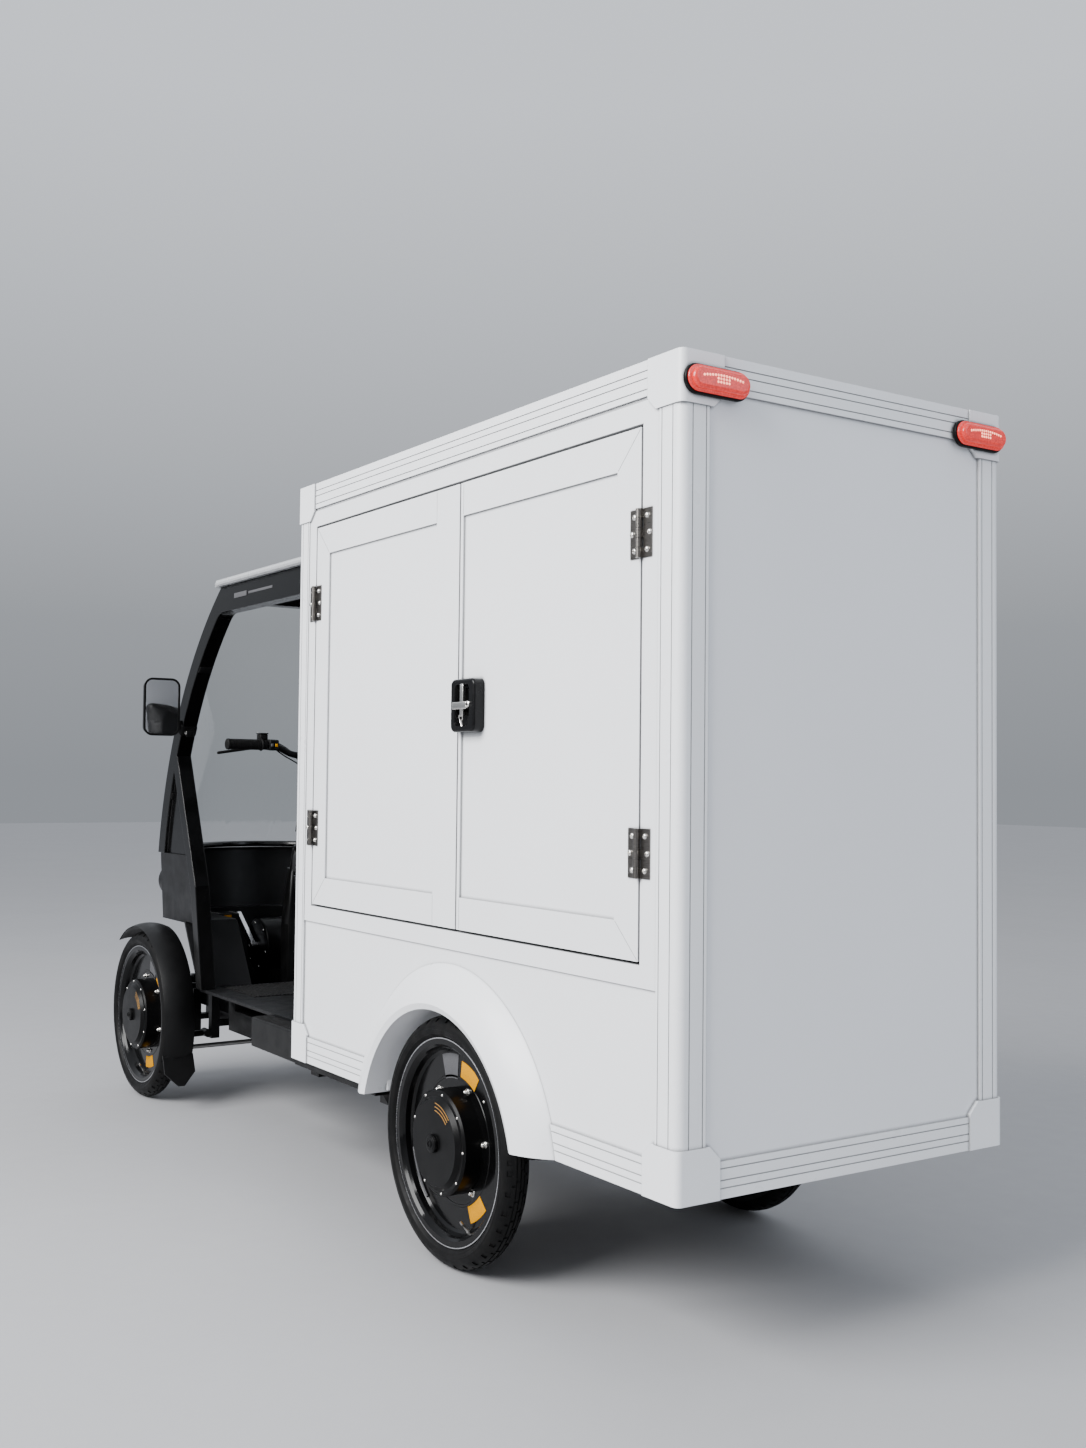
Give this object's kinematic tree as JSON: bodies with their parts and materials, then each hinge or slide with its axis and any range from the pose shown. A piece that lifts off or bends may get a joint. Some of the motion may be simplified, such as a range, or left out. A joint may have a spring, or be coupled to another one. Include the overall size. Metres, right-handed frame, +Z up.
{
  "type": "cargo bike",
  "caption": "Covered four-wheeled pedal cargo bike with a round-fronted cab, a tall white load box with double side doors, and hub motor wheels.",
  "frame": {"origin": "on the ground at mid length and mid width", "axes": "+X forward, +Y to the rider's left, +Z up"},
  "size_m": [3.2838, 1.1, 1.9379],
  "materials": {
    "white_moulding": "satin white moulded corner, rail and arch pieces",
    "white_panel": "white coated sandwich panel, satin",
    "floor_board": "dark coated plywood load floor",
    "tyre_rubber": "black rubber",
    "rim_black": "black painted wheel, semi gloss",
    "motor_black": "black painted motor casing, satin",
    "fitting_steel": "plain stainless fittings",
    "latch_plastic": "black dished latch plate",
    "red_lens": "red ribbed lamp lens",
    "trim_plastic": "black moulded plastic",
    "frame_black": "black powder coated steel tube",
    "battery_black": "black coated battery box",
    "strut_steel": "bright strut tube and rod",
    "rod_steel": "bright zinc plated track rod",
    "cab_black": "black moulded cab, semi gloss",
    "roof_silver": "silver grey roof panel",
    "clear_lens": "clear headlamp lens",
    "screen_clear": "clear windscreen sheet",
    "mirror_face": "mirror glass",
    "seat_fabric": "black woven seat cover over foam",
    "bar_black": "black anodised handlebar",
    "grip_rubber": "black rubber grips and levers",
    "crank_alloy": "bare forged crank arms"
  },
  "bodies": {
    "chassis": {"box_posts": "white_moulding", "corner_caps": "white_moulding", "box_rails": "white_moulding", "wheel_arches": "white_moulding", "box_rear_wall": "white_panel", "box_front_wall": "white_panel", "box_side_walls": "white_panel", "box_roof": "white_panel", "box_floor": "floor_board", "hinge_plates": "fitting_steel", "rear_lamp_lenses": "red_lens", "rear_lamp_bases": "trim_plastic", "chassis_frame": "frame_black", "suspension_arms": "frame_black", "battery_boxes": "battery_black", "rear_struts": "strut_steel", "mirror_bodies": "trim_plastic", "cab_floor": "trim_plastic", "nose_cowl": "cab_black", "cab_frame": "cab_black", "cab_roof": "roof_silver", "headlamp_lenses": "clear_lens", "windscreen": "screen_clear", "mirror_glasses": "mirror_face", "seat_cushion": "seat_fabric", "seat_back": "seat_fabric", "pedal_drive": "trim_plastic"},
    "handlebar": {"handlebar": "bar_black", "bar_controls": "grip_rubber"},
    "knuckle_left": {"knuckle_left": "frame_black", "fender_left": "trim_plastic"},
    "knuckle_right": {"knuckle_right": "frame_black", "fender_right": "trim_plastic"},
    "track_rod": {"track_rod": "rod_steel"},
    "wheel_rear_left": {"tyre_rear_left": "tyre_rubber", "rim_rear_left": "rim_black", "motor_rear_left": "motor_black"},
    "wheel_rear_right": {"tyre_rear_right": "tyre_rubber", "rim_rear_right": "rim_black", "motor_rear_right": "motor_black"},
    "wheel_front_left": {"tyre_front_left": "tyre_rubber", "rim_front_left": "rim_black", "motor_front_left": "motor_black"},
    "wheel_front_right": {"tyre_front_right": "tyre_rubber", "rim_front_right": "rim_black", "motor_front_right": "motor_black"},
    "crankset": {"crankset": "crank_alloy"},
    "pedal_left": {"pedal_left": "trim_plastic"},
    "pedal_right": {"pedal_right": "trim_plastic"},
    "left_rear_door": {"left_rear_leaf": "white_panel", "left_rear_leaf_fittings": "fitting_steel", "left_latch_housing": "latch_plastic"},
    "left_front_door": {"left_front_leaf": "white_panel", "left_front_leaf_fittings": "fitting_steel"},
    "right_rear_door": {"right_rear_leaf": "white_panel", "right_rear_leaf_fittings": "fitting_steel", "right_latch_housing": "latch_plastic"},
    "right_front_door": {"right_front_leaf": "white_panel", "right_front_leaf_fittings": "fitting_steel"}
  },
  "joints": [
    {"name": "steer", "type": "hinge", "parent": "chassis", "child": "handlebar", "pos_m": [1.083, 0, 0.76], "axis": [-0.3064, 0, 0.9519], "range_deg": [-35, 35]},
    {"name": "knuckle_left_turn", "type": "hinge", "parent": "chassis", "child": "knuckle_left", "pos_m": [1.356, 0.34, 0.286], "axis": [0, 0, 1], "range_deg": [-28.5, 28.5]},
    {"name": "knuckle_right_turn", "type": "hinge", "parent": "chassis", "child": "knuckle_right", "pos_m": [1.356, -0.34, 0.286], "axis": [0, 0, 1], "range_deg": [-28.5, 28.5]},
    {"name": "track_rod_slide", "type": "slide", "parent": "chassis", "child": "track_rod", "axis": [0, 1, 0], "range_m": [-0.075, 0.075]},
    {"name": "wheel_rear_left_spin", "type": "hinge", "parent": "chassis", "child": "wheel_rear_left", "pos_m": [-0.778, 0.435, 0.286], "axis": [0, 1, 0], "continuous": true},
    {"name": "wheel_rear_right_spin", "type": "hinge", "parent": "chassis", "child": "wheel_rear_right", "pos_m": [-0.778, -0.435, 0.286], "axis": [0, 1, 0], "continuous": true},
    {"name": "wheel_front_left_spin", "type": "hinge", "parent": "knuckle_left", "child": "wheel_front_left", "pos_m": [1.356, 0.435, 0.286], "axis": [0, 1, 0], "continuous": true},
    {"name": "wheel_front_right_spin", "type": "hinge", "parent": "knuckle_right", "child": "wheel_front_right", "pos_m": [1.356, -0.435, 0.286], "axis": [0, 1, 0], "continuous": true},
    {"name": "crank_spin", "type": "hinge", "parent": "chassis", "child": "crankset", "pos_m": [1.288, 0, 0.512], "axis": [0, 1, 0], "continuous": true},
    {"name": "pedal_left_spin", "type": "hinge", "parent": "crankset", "child": "pedal_left", "pos_m": [1.42233, 0.13, 0.60782], "axis": [0, 1, 0], "continuous": true},
    {"name": "pedal_right_spin", "type": "hinge", "parent": "crankset", "child": "pedal_right", "pos_m": [1.15367, -0.13, 0.41618], "axis": [0, 1, 0], "continuous": true},
    {"name": "left_rear_door_swing", "type": "hinge", "parent": "chassis", "child": "left_rear_door", "pos_m": [-1.491, 0.4585, 1.293], "axis": [0, 0, 1], "range_deg": [0, 175]},
    {"name": "left_front_door_swing", "type": "hinge", "parent": "chassis", "child": "left_front_door", "pos_m": [-0.02, 0.4585, 1.293], "axis": [0, 0, -1], "range_deg": [0, 175]},
    {"name": "right_rear_door_swing", "type": "hinge", "parent": "chassis", "child": "right_rear_door", "pos_m": [-1.491, -0.4585, 1.293], "axis": [0, 0, -1], "range_deg": [0, 175]},
    {"name": "right_front_door_swing", "type": "hinge", "parent": "chassis", "child": "right_front_door", "pos_m": [-0.02, -0.4585, 1.293], "axis": [0, 0, 1], "range_deg": [0, 175]}
  ],
  "couplings": [
    {"joint": "knuckle_left_turn", "follows": "steer", "ratio": 0.8},
    {"joint": "knuckle_right_turn", "follows": "steer", "ratio": 0.8},
    {"joint": "track_rod_slide", "follows": "steer", "m_per_rad": -0.12}
  ]
}
